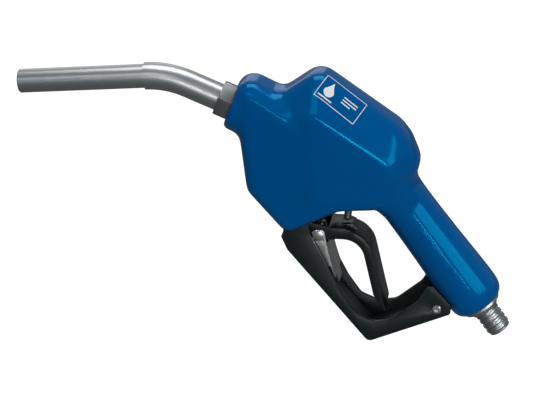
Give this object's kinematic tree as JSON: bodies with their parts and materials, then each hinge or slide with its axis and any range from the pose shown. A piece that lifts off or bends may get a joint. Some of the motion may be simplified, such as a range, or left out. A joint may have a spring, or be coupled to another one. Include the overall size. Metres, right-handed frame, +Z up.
{
  "type": "fuel nozzle",
  "caption": "Automatic shut-off dispensing nozzle with a bent spout, covered pistol body, guarded lever with hold-open clip and barbed hose tail.",
  "frame": {"origin": "shoulder where the spout's tip tube enters the bent tube, on the tube's axis", "axes": "+X from the spout's tip towards the body along the tip tube, +Z up, XZ is the plane of symmetry"},
  "size_m": [0.3769, 0.062, 0.2411],
  "materials": {
    "spout_steel": "brushed stainless",
    "nut_steel": "turned stainless",
    "tail_steel": "turned stainless",
    "machined_steel": "machined stainless",
    "spring_steel": "drawn wire",
    "screw_steel": "zinc plated",
    "clip_steel": "stamped and polished",
    "cast_alloy": "die cast",
    "seal_rubber": "moulded",
    "cover_vinyl": "glossy moulded vinyl",
    "label_print": "printed film",
    "valve_plastic": "natural moulded",
    "lever_plastic": "satin moulded",
    "guard_plastic": "satin moulded"
  },
  "bodies": {
    "nozzle_body": {"spout_tip_tube": "spout_steel", "spout_bend_tube": "spout_steel", "spout_seal_ring": "seal_rubber", "sensing_tube": "spout_steel", "spout_nut": "nut_steel", "body_casting": "cast_alloy", "body_cover": "cover_vinyl", "label_plate": "label_print", "valve_seat": "machined_steel", "valve_spring": "spring_steel", "valve_cap": "cast_alloy", "valve_cap_seal": "seal_rubber", "stem_packing": "seal_rubber", "stem_gland_nut": "machined_steel", "venturi_seat": "machined_steel", "venturi_spring": "spring_steel", "venturi_spider": "machined_steel", "plunger_spring": "spring_steel", "plunger_bush": "machined_steel", "diaphragm": "seal_rubber", "diaphragm_spring": "spring_steel", "diaphragm_cap": "cast_alloy", "cap_screws": "screw_steel", "lever_guard": "guard_plastic", "guard_screws": "screw_steel", "guard_front_bolt": "screw_steel", "hose_tail": "tail_steel", "hose_tail_seal": "seal_rubber", "inlet_strainer": "machined_steel"},
    "main_valve": {"valve_stem": "machined_steel", "valve_poppet": "machined_steel", "valve_seal": "seal_rubber"},
    "venturi_valve": {"venturi_poppet": "valve_plastic"},
    "shutoff_plunger": {"plunger": "machined_steel", "lever_pivot_pin": "screw_steel"},
    "latch": {"latch_pin": "machined_steel", "diaphragm_plates": "machined_steel"},
    "lever": {"lever": "lever_plastic", "clip_pin": "screw_steel", "clip_spring": "spring_steel"},
    "hold_open_clip": {"hold_open_clip": "clip_steel"}
  },
  "joints": [
    {"name": "plunger_drop", "type": "slide", "parent": "nozzle_body", "child": "shutoff_plunger", "axis": [0, 0, -1], "range_m": [0, 0.006], "stiffness_N_per_m": 400, "springref_m": -0.02, "deforming": ["plunger_spring"]},
    {"name": "latch_retract", "type": "slide", "parent": "nozzle_body", "child": "latch", "axis": [-1, 0, 0], "range_m": [0, 0.0045], "stiffness_N_per_m": 200, "springref_m": -0.004, "deforming": ["diaphragm_spring", "diaphragm"]},
    {"name": "lever_squeeze", "type": "hinge", "parent": "shutoff_plunger", "child": "lever", "pos_m": [0.113, 0, -0.127], "axis": [0, -1, 0], "range_deg": [0, 14.05], "stiffness_Nm_per_rad": 6, "springref_deg": -11.46},
    {"name": "main_valve_lift", "type": "slide", "parent": "nozzle_body", "child": "main_valve", "axis": [0.2079, 0, 0.9781], "range_m": [0, 0.0093], "deforming": ["valve_spring"]},
    {"name": "clip_swing", "type": "hinge", "parent": "lever", "child": "hold_open_clip", "pos_m": [0.1286, 0, -0.1332], "axis": [0, -1, 0], "range_deg": [-17, 0], "deforming": ["clip_spring"]},
    {"name": "venturi_valve_open", "type": "slide", "parent": "nozzle_body", "child": "venturi_valve", "axis": [-0.891, 0, 0.454], "range_m": [0, 0.004], "stiffness_N_per_m": 150, "springref_m": -0.006, "deforming": ["venturi_spring"]}
  ],
  "couplings": [
    {"joint": "lever_squeeze", "follows": "main_valve_lift", "rad_per_m": 26.3},
    {"joint": "clip_swing", "follows": "main_valve_lift", "rad_per_m": -31.6},
    {"joint": "latch_retract", "follows": "plunger_drop", "ratio": 0.75}
  ]
}
